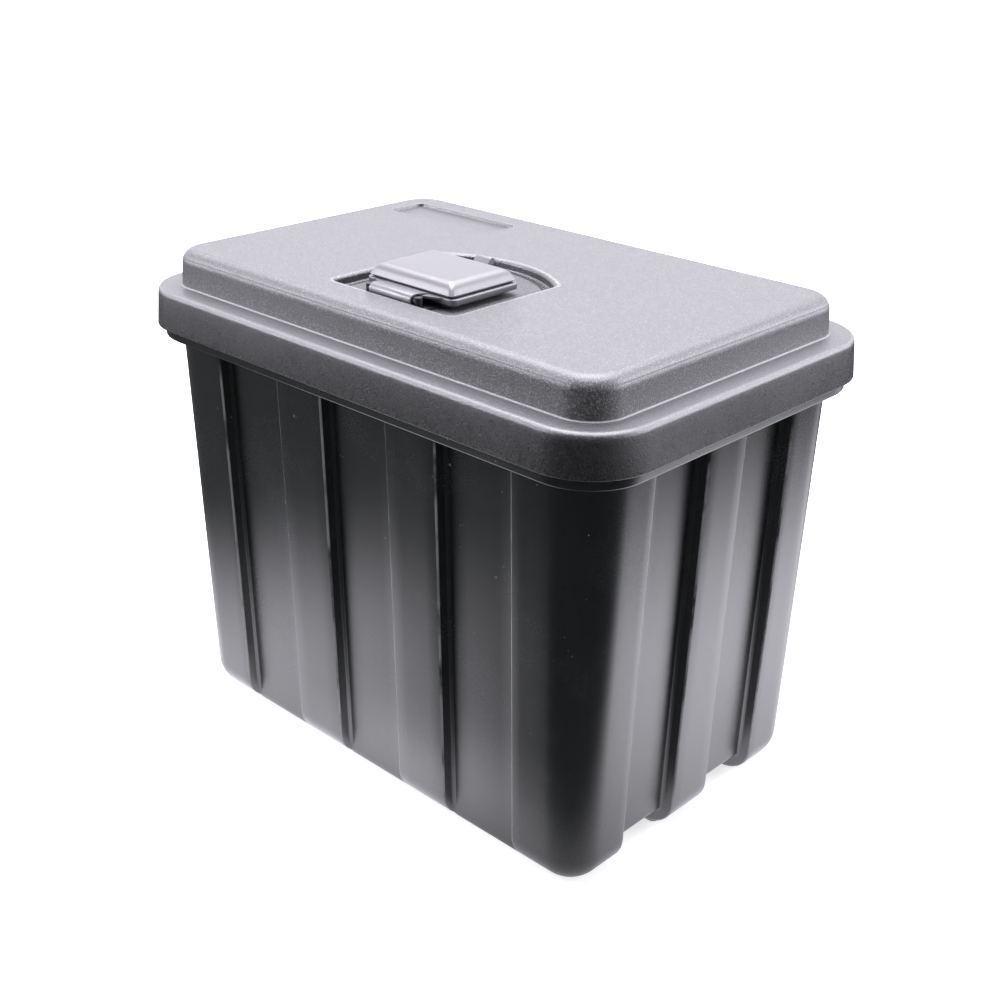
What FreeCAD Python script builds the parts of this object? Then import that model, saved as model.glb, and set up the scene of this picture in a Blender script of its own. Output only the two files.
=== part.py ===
"""Ribbed storage box for a vehicle, with a hinged lid and a quarter-turn latch.

Millimetres. +Z is up, and z = 0 is the plane the feet stand on. X runs along the
length, and the latch side faces -Y. The origin is under the middle of the tub.
"""
import FreeCAD, Part
import math
import os
from FreeCAD import Vector

os.makedirs("parts", exist_ok=True)

# Lid: the skirt's outside at its low edge, and the heights above the floor
lid_length = 500.0
lid_width = 334.0
skirt_low = 346.5
brim_top = 378.0
panel_top = 407.0
skirt_corner = 52.0
skirt_draft = 2.7
skirt_edge_bevel = 3.0
panel_inset = 22.0
panel_corner = 31.0
panel_draft = 1.7
panel_edge_radius = 11.0
lid_wall = 3.5
lid_rib_width = 2.5
lid_rib_depth = 6.0
lid_rib_near = 100.0
lid_rib_spacing = 65.0
lid_cross_rib_back = 122.0

# Tub: corrugated walls that lean in towards the base
lip_inset = 6.2
lip_corner = 46.0
lip_low = 337.0
lip_wall = 3.2
lip_edge_bevel = 1.2
rim_top = 366.0
rim_wall = 3.5
face_inset = 17.6
face_lean = 11.1
tub_corner = 39.0
tub_wall = 3.5
band_depth = 10.0
band_side_slope = 1.2
base_radius = 26.0

# Bands, as distances from the middle of a side
long_mid_band_near = 35.5
long_mid_band_far = 87.5
long_corner_band = 159.5
short_mid_band = 22.0
short_corner_band = 82.0

# Feet, and the finger scoops under the channels of the short sides
foot_height = 2.0
foot_inset = 17.0
foot_depth = 34.0
foot_corner = 3.5
foot_margin = 2.0
scoop_height = 21.0
scoop_run = 44.0

# Lid hinge at the back: sets of lugs, each on its own pin
hinge_spacing = 290.0
hinge_standoff = 9.0
hinge_drop = 7.5
hinge_lug_radius = 6.5
hinge_lid_lug_width = 30.0
hinge_ear_width = 9.0
hinge_side_gap = 0.5
hinge_pin_radius = 2.5
pin_clearance = 0.05
pin_cap_radius = 5.0
pin_cap_thickness = 1.6
lug_root_low = 3.5
lug_root_height = 22.0
ear_height = 7.5

# Seal between the rim and the lid
seal_inset = 11.0
seal_width = 5.0
seal_rib_width = 1.8
seal_rib_depth = 4.0

# Latch pocket in the lid's panel, and the bare label recess
pocket_half_width = 64.0
pocket_margin = 58.5
pocket_length = 108.5
pocket_bulge = 23.0
pocket_depth = 6.2
pocket_corner = 7.0
pocket_rim_bevel = 1.8
label_length = 118.0
label_width = 37.0
label_depth = 3.0
label_corner = 5.0
label_end_margin = 50.0
label_back_margin = 53.5

# Latch: housing, handle, spindle and cam, all on one upright axis
latch_setback = 111.5
housing_half_width = 40.0
housing_half_depth = 31.5
housing_corner = 8.0
housing_height = 7.5
housing_wall = 2.5
housing_floor = 1.8
gasket_thickness = 1.2
barrel_radius = 16.0
barrel_length = 22.0
barrel_nut_radius = 23.0
barrel_nut_height = 7.0
spindle_radius = 8.0
spindle_square = 9.0
stud_radius = 3.9
stud_length = 9.0
oring_radius = 1.2
oring_depth = 8.0
handle_length = 46.0
handle_width = 18.0
handle_height = 9.0
handle_base_radius = 15.0
handle_base_height = 3.0
handle_boss_radius = 11.0
handle_edge_bevel = 1.5
handle_socket = 2.3
plug_radius = 6.0
plug_depth = 7.0
plug_proud = 0.6
plug_tail_height = 2.4
plug_tail_reach = 9.0
plug_tail_width = 5.0
keyway_width = 1.6
keyway_length = 8.0
keyway_depth = 4.0
stop_washer_radius = 11.5
stop_washer_thickness = 1.8
stop_tab_reach = 15.0
stop_tab_width = 6.0
stop_post_radius = 1.6
latch_turn_angle = 90.0
cam_thickness = 3.0
cam_width = 22.0
cam_drop_at = 30.0
cam_reach = 72.0
spring_washer_thickness = 1.2
spring_washer_radius = 7.5
nut_across_flats = 13.0
nut_height = 6.0
play = 0.3

# Keeper on the inside of the front wall
keeper_width = 30.0
keeper_thickness = 2.5
keeper_projection = 16.0
keeper_height = 34.0
keeper_drop = 15.5
keeper_gap = 1.3
keeper_boss_margin = 4.0
keeper_face_setback = 35.5
keeper_screw_radius = 2.0
keeper_screw_head_radius = 4.0
keeper_screw_head_height = 2.4
keeper_screw_length = 7.0
keeper_screw_spacing = 18.0

# Dust cover: a soft moulded cap on a hinge bar at the pocket's front edge
cover_half_width = 45.0
cover_half_depth = 35.0
cover_flange_ends = 4.0
cover_flange_sides = 2.5
cover_bead = 1.2
cover_bead_height = 2.5
cover_wall = 1.8
cover_dome_height = 13.0
cover_dome_bevel = 3.6
cover_dome_slope = 9.0
cover_dome_corner = 3.0
cover_corner = 5.0
cover_gap = 0.4
cover_roll_radius = 5.0
cover_roll_length = 44.4
cover_roll_setback = 48.4
cover_roll_rise = 7.3
cover_roll_end_angle = 285.0
cover_tab_width = 15.0
cover_tab_length = 9.0
cover_tab_curl = 2.2
hinge_bar_overhang = 3.6
tongue_margin = 4.0

# Places that follow from the sizes above
half_length = lid_length / 2
half_width = lid_width / 2
base_level = foot_height
panel_under = panel_top - lid_wall
brim_under = brim_top - lid_wall
pocket_floor = panel_top - pocket_depth
pocket_under = pocket_floor - lid_wall
pocket_front_y = -half_width + pocket_margin
pocket_shoulder_y = pocket_front_y + pocket_length
latch_y = -half_width + latch_setback
hinge_y = half_width + hinge_standoff
hinge_z = skirt_low - hinge_drop
hinge_places = (-hinge_spacing / 2, hinge_spacing / 2)
ear_near = hinge_lid_lug_width / 2 + hinge_side_gap
ear_far = ear_near + hinge_ear_width
housing_low = pocket_floor + gasket_thickness
housing_top = pocket_floor + housing_height
barrel_low = housing_low - barrel_length
handle_low = housing_low + housing_floor + play
handle_top = handle_low + handle_base_height + handle_height
spindle_top = handle_low + handle_socket
washer_top = barrel_low - play
cam_top = washer_top - stop_washer_thickness
cam_low = cam_top - cam_thickness
square_low = cam_low + play
nut_top = cam_low - spring_washer_thickness
keeper_top = rim_top - keeper_drop
keeper_y = -half_width + keeper_face_setback
tongue_top = keeper_top - keeper_thickness - keeper_gap
flange_low = housing_top + cover_gap
flange_top = flange_low + cover_wall
cover_front_y = latch_y - cover_half_depth
bar_y = latch_y - cover_roll_setback
bar_z = pocket_floor + cover_roll_rise
bar_radius = cover_roll_radius - cover_wall - pin_clearance
bar_post_x = cover_roll_length / 2 + hinge_bar_overhang

# How far cutting tools and hidden roots reach past a surface, and how near counts as touching
reach = 1.0
far_away = 60.0
touching = 1e-4

# How many flats stand for a round corner on the inside of a shell
corner_flats = 5


def export(node, *solids):
    """Writes one node. Like pieces share it as a group of separate solids."""
    shape = solids[0] if len(solids) == 1 else Part.makeCompound(list(solids))
    shape.exportStep(f"parts/{node}.step")


def outline(corners, z):
    """A closed wire at height z through (x, y, radius) corners, each rounded by a tangent arc."""
    arcs = []
    for i, (x, y, radius) in enumerate(corners):
        here = Vector(x, y, z)
        next_corner = corners[(i + 1) % len(corners)]
        before = (Vector(corners[i - 1][0], corners[i - 1][1], z) - here).normalize()
        after = (Vector(next_corner[0], next_corner[1], z) - here).normalize()
        half_angle = before.getAngle(after) / 2
        setback = radius / math.tan(half_angle)
        middle = (before + after).normalize() * (radius / math.sin(half_angle) - radius)
        arcs.append((here + before * setback, here + middle, here + after * setback))
    edges = []
    for i, (start, middle, end) in enumerate(arcs):
        edges.append(Part.Arc(start, middle, end).toShape())
        edges.append(Part.LineSegment(end, arcs[(i + 1) % len(arcs)][0]).toShape())
    return Part.Wire(edges)


def rectangle(half_x, half_y, radius, centre_x=0.0, centre_y=0.0):
    """The four rounded corners of a rectangle, for outline()."""
    return [(centre_x + half_x, centre_y - half_y, radius), (centre_x + half_x, centre_y + half_y, radius),
            (centre_x - half_x, centre_y + half_y, radius), (centre_x - half_x, centre_y - half_y, radius)]


def leaning(low_half, low, high_half, high, low_radius, centre_y=0.0):
    """A block with flat leaning walls and conical corners, which all lean by the same amount.

    Each half size is (half x, half y). It is two crossed prisms and a cone at each corner.
    """
    lean = high_half[0] - low_half[0]
    centre_x = low_half[0] - low_radius
    side_y = low_half[1] - low_radius
    along = across([(-low_half[1], low), (low_half[1], low), (high_half[1], high), (-high_half[1], high)],
                   -centre_x, centre_x)
    over = across([(-low_half[0], low), (low_half[0], low), (high_half[0], high), (-high_half[0], high)],
                  -side_y, side_y)
    over.rotate(Vector(0, 0, 0), Vector(0, 0, 1), 90)
    pieces = [over]
    for x in (-centre_x, centre_x):
        for y in (-side_y, side_y):
            if abs(lean) < touching:
                pieces.append(rod(low_radius, Vector(x, y, low), Vector(x, y, high)))
            else:
                pieces.append(Part.makeCone(low_radius, low_radius + lean, high - low, Vector(x, y, low)))
    block = along.fuse(pieces).removeSplitter()
    block.translate(Vector(0, centre_y, 0))
    return block


def faceted(sections, centre_y=0.0):
    """A block with flat sides through rounded rectangles, each (half x, half y, radius, z).

    It is for the inside of a shell, where a few flats stand for each round corner.
    """
    wires = []
    for half_x, half_y, radius, z in sections:
        points = []
        for quarter, (side_x, side_y) in enumerate(((1, 1), (-1, 1), (-1, -1), (1, -1))):
            for step in range(corner_flats + 1):
                turn = math.pi / 2 * (quarter + step / corner_flats)
                x = side_x * (half_x - radius) + radius * math.cos(turn)
                y = side_y * (half_y - radius) + radius * math.sin(turn)
                points.append(Vector(x, centre_y + y, z))
        wires.append(Part.makePolygon(points + points[:1]))
    return Part.makeLoft(wires, True, True)


def upright(corners, low, high):
    """A solid with upright walls on one outline."""
    return Part.Face(outline(corners, low)).extrude(Vector(0, 0, high - low))


def box(x0, x1, y0, y1, z0, z1):
    """An upright block between two opposite corners."""
    return Part.makeBox(x1 - x0, y1 - y0, z1 - z0, Vector(x0, y0, z0))


def rod(radius, start, end):
    """A round bar from one point to another."""
    along = end - start
    return Part.makeCylinder(radius, along.Length, start, along)


def on_latch(radius, low, high):
    """A round piece on the latch's axis."""
    return rod(radius, Vector(0, latch_y, low), Vector(0, latch_y, high))


def across(points, x0, x1):
    """A prism along X whose section is a polygon of (y, z) points."""
    wire = Part.makePolygon([Vector(x0, y, z) for y, z in points + points[:1]])
    return Part.Face(wire).extrude(Vector(x1 - x0, 0, 0))


def round_edges(solid, radius, chosen):
    """Rounds the edges of a solid that a test picks."""
    return solid.makeFillet(radius, [edge for edge in solid.Edges if chosen(edge)])


def bevel_edges(solid, size, chosen):
    """Bevels the edges of a solid that a test picks."""
    return solid.makeChamfer(size, [edge for edge in solid.Edges if chosen(edge)])


def level(edge, z):
    """True for an edge that lies flat at height z."""
    return abs(edge.BoundBox.ZMin - z) < touching and abs(edge.BoundBox.ZMax - z) < touching


def turned(solid, degrees, centre_y=0.0):
    """A copy turned about an upright axis through (0, centre_y)."""
    copy = solid.copy()
    copy.rotate(Vector(0, centre_y, 0), Vector(0, 0, 1), degrees)
    return copy


def mirrored(solid):
    """The same piece on the other side of the box."""
    return solid.mirror(Vector(0, 0, 0), Vector(1, 0, 0))


def inner_bevel(radius, inset):
    """The bevel inside a rounded edge that keeps the wall about as thick as it is elsewhere."""
    return 0.6 * max(radius - inset, reach)


# Tub: leaning walls with upright channels, a rounded base and finger scoops


def face_half_x(z, inset):
    """Half the length across the band faces at height z, the walls' lean included."""
    return half_length - face_inset - face_lean * (rim_top - z) / rim_top - inset


def face_half_y(z, inset):
    """Half the width across the band faces at height z."""
    return half_width - face_inset - face_lean * (rim_top - z) / rim_top - inset


def plain_tub(inset, top):
    """The tub without its channels, moved inwards by inset."""
    base = base_level + inset
    low_half = (face_half_x(base, inset), face_half_y(base, inset))
    high_half = (face_half_x(top, inset), face_half_y(top, inset))
    base_corner = tub_corner - face_lean * (rim_top - base) / rim_top - inset
    if inset == 0:
        walls = leaning(low_half, base, high_half, top, base_corner)
        return round_edges(walls, base_radius, lambda edge: level(edge, base))
    bevel = inner_bevel(base_radius, inset)
    knee = base + bevel
    knee_corner = tub_corner - face_lean * (rim_top - knee) / rim_top - inset
    top_corner = tub_corner - face_lean * (rim_top - top) / rim_top - inset
    return faceted([(low_half[0] - bevel, low_half[1] - bevel, base_corner - bevel, base),
                    (face_half_x(knee, inset), face_half_y(knee, inset), knee_corner, knee),
                    (high_half[0], high_half[1], top_corner, top)])


def channel(wall_at, near, far, inset):
    """The space of one channel in a wall that faces +Y, and stands at wall_at(z, inset).

    Its section is a trapezium that leans with the wall.
    """
    face = wall_at(base_level, inset)
    floor = face - band_depth
    flare = band_side_slope * far_away / band_depth
    low = near - inset
    high = far + inset
    space = [(low + band_side_slope, floor), (high - band_side_slope, floor),
             (high + flare, face + far_away), (low - flare, face + far_away)]
    wire = Part.makePolygon([Vector(x, y, base_level - far_away) for x, y in space + space[:1]])
    prism = Part.Face(wire).extrude(Vector(0, 0, rim_top + 2 * far_away))
    lean_angle = math.degrees(math.atan(face_lean / rim_top))
    prism.rotate(Vector(0, face, base_level), Vector(1, 0, 0), -lean_angle)
    return prism


def long_channels():
    """The spans of the long sides' channels, along X."""
    return [(-long_corner_band, -long_mid_band_far), (-long_mid_band_near, long_mid_band_near),
            (long_mid_band_far, long_corner_band)]


def short_channels():
    """The spans of the short sides' channels, along Y."""
    return [(-short_corner_band, -short_mid_band), (short_mid_band, short_corner_band)]


def scoop(near, far, inset):
    """A finger scoop: a wedge that opens the base under a channel of the +X side."""
    wall = face_half_x(base_level, 0) - band_depth
    base = base_level + inset
    start = wall - scoop_run - inset
    points = [(start, base - far_away), (start, base), (wall, scoop_height + inset),
              (wall + far_away, scoop_height + inset), (wall + far_away, base - far_away)]
    side = near - inset + band_side_slope
    wire = Part.makePolygon([Vector(x, side, z) for x, z in points + points[:1]])
    width = far - near + 2 * inset - 2 * band_side_slope
    return Part.Face(wire).extrude(Vector(0, width, 0))


def tub_form(inset, top):
    """The corrugated tub as one solid block, moved inwards by inset."""
    cutters = []
    for near, far in long_channels():
        cutter = channel(face_half_y, near, far, inset)
        cutters += [cutter, turned(cutter, 180)]
    for near, far in short_channels():
        cutter = channel(face_half_x, near, far, inset)
        wedge = scoop(near, far, inset)
        cutters += [turned(cutter, 90), turned(cutter, -90), wedge, turned(wedge, 180)]
    return plain_tub(inset, top).cut(cutters)


def lip_corners(inset):
    """The outline of the rim's down-turned lip, moved inwards by inset."""
    lean = lip_inset + inset
    return rectangle(half_length - lean, half_width - lean, lip_corner - inset)


def feet():
    """Flat pads under the bands: one at each corner, one under each middle band, and a runner."""
    end_x = face_half_x(0, 0) - foot_inset
    end_y = face_half_y(0, 0) - foot_inset
    top = base_level + reach
    corner_x = long_corner_band + foot_margin
    corner_y = short_corner_band + foot_margin
    pads = [box(corner_x, end_x, corner_y, end_y, 0, top),
            box(long_mid_band_near, long_mid_band_far, end_y - foot_depth, end_y, 0, top)]
    pads = [bevel_edges(pad, foot_corner, lambda edge: edge.BoundBox.ZLength > base_level) for pad in pads]
    pads += [mirrored(pad) for pad in pads]
    pads += [turned(pad, 180) for pad in pads]
    runner_half = short_mid_band - foot_margin
    return pads + [box(-end_x, end_x, -runner_half, runner_half, 0, top)]


def hinge_ears(x):
    """The tub's two ears for the hinge at x, with a neck to the lip."""
    ears = []
    for near, far in ((-ear_far, -ear_near), (ear_near, ear_far)):
        neck_root = half_width - lip_inset - lip_wall / 2
        neck = box(x + near, x + far, neck_root, hinge_y, lip_low, lip_low + ear_height)
        eye = rod(hinge_lug_radius, Vector(x + near, hinge_y, hinge_z), Vector(x + far, hinge_y, hinge_z))
        ears.append(neck.fuse(eye))
    return ears


def keeper_screw_places():
    """Where the keeper's screws stand, as (x, z)."""
    z = keeper_top - keeper_height / 2 - keeper_screw_head_radius
    return [(-keeper_screw_spacing / 2, z), (keeper_screw_spacing / 2, z)]


def make_body_shell():
    rim = rim_top - rim_wall
    plate = upright(lip_corners(0), rim, rim_top)
    plate = bevel_edges(plate, lip_edge_bevel, lambda edge: level(edge, rim_top))
    skirt = upright(lip_corners(0), lip_low, rim).cut(upright(lip_corners(lip_wall), lip_low - reach, rim))
    wall_y = -face_half_y(keeper_top, 0) + band_depth + tub_wall / 2
    boss_half = keeper_width / 2 + keeper_boss_margin
    boss = box(-boss_half, boss_half, wall_y, keeper_y, keeper_top - keeper_height - keeper_boss_margin,
               keeper_top + keeper_boss_margin)
    outside = tub_form(0, rim + reach).fuse(feet())
    shell = outside.fuse([plate, skirt]).cut(tub_form(tub_wall, rim_top + reach))
    for x in hinge_places:
        shell = shell.fuse(hinge_ears(x))
        shell = shell.cut(rod(hinge_pin_radius, Vector(x - ear_far - reach, hinge_y, hinge_z),
                              Vector(x + ear_far + reach, hinge_y, hinge_z)))
    shell = shell.fuse(boss)
    for x, z in keeper_screw_places():
        start = Vector(x, keeper_y + reach, z)
        shell = shell.cut(rod(keeper_screw_radius, start, start - Vector(0, keeper_screw_length, 0)))
    return shell.removeSplitter()


def make_keeper():
    low = keeper_top - keeper_height
    tip = keeper_y + keeper_projection
    inner = keeper_y + keeper_thickness
    under = keeper_top - keeper_thickness
    points = [(keeper_y, low), (keeper_y, keeper_top), (tip, keeper_top), (tip, under), (inner, under),
              (inner, low)]
    keeper = across(points, -keeper_width / 2, keeper_width / 2)
    for x, z in keeper_screw_places():
        start = Vector(x, keeper_y - reach, z)
        end = Vector(x, inner + reach, z)
        keeper = keeper.cut(rod(keeper_screw_radius, start, end))
    return keeper


def make_keeper_screws():
    screws = []
    for x, z in keeper_screw_places():
        seat = Vector(x, keeper_y + keeper_thickness, z)
        head_end = seat + Vector(0, keeper_screw_head_height, 0)
        head = rod(keeper_screw_head_radius, seat, head_end)
        shank_end = Vector(x, keeper_y + reach - keeper_screw_length, z)
        screws.append(head.fuse(rod(keeper_screw_radius, seat, shank_end)))
    return screws


def make_hinge_pin(x):
    start = Vector(x - ear_far, hinge_y, hinge_z)
    return rod(hinge_pin_radius, start, start + Vector(2 * ear_far, 0, 0))


def make_pin_caps():
    caps = []
    for x in hinge_places:
        for side in (-1, 1):
            inner_face = Vector(x + side * ear_far, hinge_y, hinge_z)
            outer_face = inner_face + Vector(side * pin_cap_thickness, 0, 0)
            caps.append(rod(pin_cap_radius, inner_face, outer_face))
    return caps


# Lid: a drafted skirt with a brim, and a raised panel with the latch's pocket


def skirt_half(z, inset):
    """Half the skirt's length and width at height z, moved inwards by inset."""
    lean = skirt_draft * (z - skirt_low) / (brim_top - skirt_low) + inset
    return half_length - lean, half_width - lean


def panel_half(z, inset):
    """Half the raised panel's length and width at height z, moved inwards by inset."""
    lean = panel_inset + panel_draft * (z - brim_top) / (panel_top - brim_top) + inset
    return half_length - lean, half_width - lean


def skirt_corner_at(z, inset):
    """The skirt's corner radius at height z, moved inwards by inset."""
    return skirt_corner - inset - skirt_draft * (z - skirt_low) / (brim_top - skirt_low)


def panel_corner_at(z, inset):
    """The panel's corner radius at height z, moved inwards by inset."""
    return panel_corner - inset - panel_draft * (z - brim_top) / (panel_top - brim_top)


def lid_outside():
    """The lid as one solid block: the skirt with a bevelled brim, and the panel with a rounded edge."""
    skirt = leaning(skirt_half(skirt_low, 0), skirt_low, skirt_half(brim_top, 0), brim_top,
                    skirt_corner_at(skirt_low, 0))
    skirt = bevel_edges(skirt, skirt_edge_bevel, lambda edge: level(edge, brim_top))
    root = brim_top - 2 * lid_wall
    panel = leaning(panel_half(root, 0), root, panel_half(panel_top, 0), panel_top, panel_corner_at(root, 0))
    return skirt.fuse(round_edges(panel, panel_edge_radius, lambda edge: level(edge, panel_top)))


def lid_inside(inset, low):
    """The lid's inside as one block, moved inwards by inset from the outside."""
    brim = brim_top - inset
    top = panel_top - inset
    root = brim - reach
    bevel = inner_bevel(panel_edge_radius, inset)
    knee = top - bevel
    skirt = faceted([(*skirt_half(z, inset), skirt_corner_at(z, inset), z) for z in (low, brim)])
    walls = [(*panel_half(z, inset), panel_corner_at(z, inset), z) for z in (root, knee)]
    crown = (*panel_half(top, inset + bevel), panel_corner_at(top, inset + bevel), top)
    return skirt.fuse(faceted(walls + [crown]))


def pocket_corners(margin):
    """The pocket's outline, with a bowed back edge, moved outwards by margin."""
    half = pocket_half_width + margin
    front = pocket_front_y - margin
    shoulder = pocket_shoulder_y + margin
    bow_angle = 2 * math.atan(pocket_bulge / half)
    peak = shoulder + half * math.tan(bow_angle)
    corner = pocket_corner + margin
    corner_setback = corner / math.tan((math.pi / 2 + bow_angle) / 2)
    bow_radius = (half / math.cos(bow_angle) - corner_setback - reach / 2) / math.tan(bow_angle)
    return [(half, front, corner), (half, shoulder, corner), (0, peak, bow_radius),
            (-half, shoulder, corner), (-half, front, corner)]


def label_corners(margin):
    """The label recess, near the panel's back left corner, moved outwards by margin."""
    centre_x = -half_length + label_end_margin + label_length / 2
    centre_y = half_width - label_back_margin - label_width / 2
    return rectangle(label_length / 2 + margin, label_width / 2 + margin, label_corner + margin,
                     centre_x, centre_y)


def lid_ribs():
    """Stiffening ribs under the panel, clear of the pocket, trimmed to the lid's inside."""
    low = panel_under - lid_rib_depth
    high = panel_top - lid_wall / 2
    half_rib = lid_rib_width / 2
    ribs = []
    for place in (lid_rib_near, lid_rib_near + lid_rib_spacing):
        for x in (-place, place):
            ribs.append(box(x - half_rib, x + half_rib, -half_width, half_width, low, high))
    y = half_width - lid_cross_rib_back
    ribs.append(box(-half_length, half_length, y - half_rib, y + half_rib, low, high))
    return [rib.common(lid_inside(lid_wall / 2, skirt_low)) for rib in ribs]


def brim_outline(inset):
    """The skirt's outline, moved inwards by inset, for what lies under the brim."""
    return rectangle(half_length - inset, half_width - inset, skirt_corner - inset)


def ring(outer_inset, inner_inset, low, high):
    """A ring under the brim that follows the skirt's outline."""
    outer_edge = upright(brim_outline(outer_inset), low, high)
    return outer_edge.cut(upright(brim_outline(inner_inset), low - reach, high + reach))


def lid_lug(x):
    """The lid's lug for the hinge at x: a foot on the skirt's back, swept down to the pin's eye."""
    root = half_width - lid_wall
    low = skirt_low + lug_root_low
    high = low + lug_root_height
    x0 = x - hinge_lid_lug_width / 2
    x1 = x + hinge_lid_lug_width / 2
    points = [(root, high), (root, low), (hinge_y - hinge_lug_radius, hinge_z), (hinge_y, hinge_z),
              (hinge_y + hinge_lug_radius, hinge_z)]
    eye = rod(hinge_lug_radius, Vector(x0, hinge_y, hinge_z), Vector(x1, hinge_y, hinge_z))
    return across(points, x0, x1).fuse(eye)


def make_lid_shell():
    outside = lid_outside()
    pocket = upright(pocket_corners(0), pocket_floor, panel_top + reach)
    outside = outside.cut(pocket)
    outside = bevel_edges(outside, pocket_rim_bevel, lambda edge: level(edge, panel_top)
                          and abs(edge.BoundBox.XMax) < pocket_half_width + reach
                          and abs(edge.BoundBox.XMin) < pocket_half_width + reach)
    shell = outside.cut(lid_inside(lid_wall, skirt_low - reach))
    pan = upright(pocket_corners(lid_wall), pocket_under, panel_under + reach)
    pan = pan.cut(upright(pocket_corners(0), pocket_floor, panel_top + reach))
    backing = upright(label_corners(lid_wall), panel_under - label_depth, panel_under + reach)
    seal_low = brim_under - seal_rib_depth
    outer_rib = ring(seal_inset - seal_rib_width, seal_inset, seal_low, brim_under + reach)
    inner_edge = seal_inset + seal_width
    inner_rib = ring(inner_edge, inner_edge + seal_rib_width, seal_low, brim_under + reach)
    lugs = [lid_lug(x) for x in hinge_places]
    shell = shell.fuse([pan, backing, outer_rib, inner_rib] + lid_ribs() + lugs)
    shell = shell.cut(upright(label_corners(0), panel_top - label_depth, panel_top + reach))
    shell = shell.cut(on_latch(barrel_radius, pocket_under - reach, panel_top))
    bore = hinge_pin_radius + pin_clearance
    for x in hinge_places:
        start = Vector(x - ear_far, hinge_y, hinge_z)
        shell = shell.cut(rod(bore, start, start + Vector(2 * ear_far, 0, 0)))
    return shell.removeSplitter()


def make_lid_seal():
    return ring(seal_inset, seal_inset + seal_width, rim_top + play, brim_under)


# Latch: a housing in the pocket, a quarter-turn handle and a cam under the keeper


def stop_posts():
    """Two posts under the barrel that the stop washer's tab runs between."""
    radius = (stop_washer_radius + stop_tab_reach) / 2
    margin = math.degrees(math.asin((stop_tab_width / 2 + stop_post_radius + play) / radius))
    posts = []
    for angle in (180 + margin, 180 - latch_turn_angle - margin):
        x = radius * math.cos(math.radians(angle))
        y = latch_y + radius * math.sin(math.radians(angle))
        posts.append(rod(stop_post_radius, Vector(x, y, cam_top + play), Vector(x, y, barrel_low + reach)))
    return posts


def make_lock_housing():
    tray = upright(rectangle(housing_half_width, housing_half_depth, housing_corner, 0, latch_y),
                   housing_low, housing_top)
    well = rectangle(housing_half_width - housing_wall, housing_half_depth - housing_wall,
                     housing_corner - housing_wall, 0, latch_y)
    tray = tray.cut(upright(well, housing_low + housing_floor, housing_top + reach))
    front = latch_y - housing_half_depth
    tongue_half = bar_post_x + tongue_margin
    tongue = box(-tongue_half, tongue_half, bar_y - tongue_margin, front + housing_wall, pocket_floor,
                 pocket_floor + housing_floor)
    tongue = round_edges(tongue, tongue_margin, lambda edge: edge.BoundBox.ZLength > reach
                         and edge.BoundBox.YMax < front)
    barrel = on_latch(barrel_radius, barrel_low, housing_low + housing_floor)
    housing = tray.fuse([tongue, barrel] + stop_posts())
    return housing.cut(on_latch(spindle_radius + pin_clearance, barrel_low - reach, panel_top))


def make_housing_gasket():
    edge = housing_wall + reach
    half_x = housing_half_width - edge
    half_y = housing_half_depth - edge
    gasket = box(-half_x, half_x, latch_y - half_y, latch_y + half_y, pocket_floor, housing_low)
    return gasket.cut(on_latch(barrel_radius, pocket_floor - reach, panel_top))


def hexagon(across_flats, low, high):
    """A hexagonal prism on the latch's axis."""
    radius = across_flats / math.sqrt(3)
    turns = [k * math.pi / 3 for k in range(7)]
    points = [Vector(radius * math.cos(turn), latch_y + radius * math.sin(turn), low) for turn in turns]
    return Part.Face(Part.makePolygon(points)).extrude(Vector(0, 0, high - low))


def make_housing_nut():
    low = pocket_under - barrel_nut_height
    nut = hexagon(2 * barrel_nut_radius, low, pocket_under)
    return nut.cut(on_latch(barrel_radius, low - reach, pocket_under + reach))


def make_cover_hinge_bar():
    foot = pocket_floor + housing_floor
    bar = rod(bar_radius, Vector(-bar_post_x, bar_y, bar_z), Vector(bar_post_x, bar_y, bar_z))
    for x in (-bar_post_x, bar_post_x):
        bar = bar.fuse(rod(bar_radius, Vector(x, bar_y, foot), Vector(x, bar_y, bar_z + bar_radius)))
    return bar.removeSplitter()


def make_turn_handle():
    base = on_latch(handle_base_radius, handle_low, handle_low + handle_base_height)
    low = handle_low + handle_base_height - reach
    wings = upright(rectangle(handle_length / 2, handle_width / 2, handle_width / 2 - play, 0, latch_y),
                    low, handle_top)
    wings = bevel_edges(wings, handle_edge_bevel, lambda edge: level(edge, handle_top))
    handle = base.fuse([wings, on_latch(handle_boss_radius, low, handle_top)])
    chamber_top = handle_top - plug_depth + play
    handle = handle.cut(on_latch(spindle_radius, handle_low - reach, spindle_top))
    handle = handle.cut(on_latch(plug_tail_reach + play, spindle_top, chamber_top))
    return handle.cut(on_latch(plug_radius + pin_clearance, spindle_top, handle_top + reach))


def square_bar(side, low, high):
    """A square bar on the latch's axis."""
    return box(-side / 2, side / 2, latch_y - side / 2, latch_y + side / 2, low, high)


def oring_level():
    return housing_low - oring_depth


def make_oring():
    """The O-ring, pressed into its groove so that it just fills it."""
    low = oring_level() - oring_radius
    high = oring_level() + oring_radius
    ring_outside = on_latch(spindle_radius, low, high)
    return ring_outside.cut(on_latch(spindle_radius - 2 * oring_radius, low - reach, high + reach))


def make_spindle():
    shaft = on_latch(spindle_radius, washer_top, spindle_top)
    groove_low = oring_level() - oring_radius
    groove_high = oring_level() + oring_radius
    groove = on_latch(spindle_radius + reach, groove_low, groove_high)
    groove = groove.cut(on_latch(spindle_radius - 2 * oring_radius, groove_low, groove_high))
    square = square_bar(spindle_square, square_low, washer_top)
    stud = on_latch(stud_radius, square_low - stud_length, square_low)
    return shaft.cut(groove).fuse([square, stud])


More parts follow.
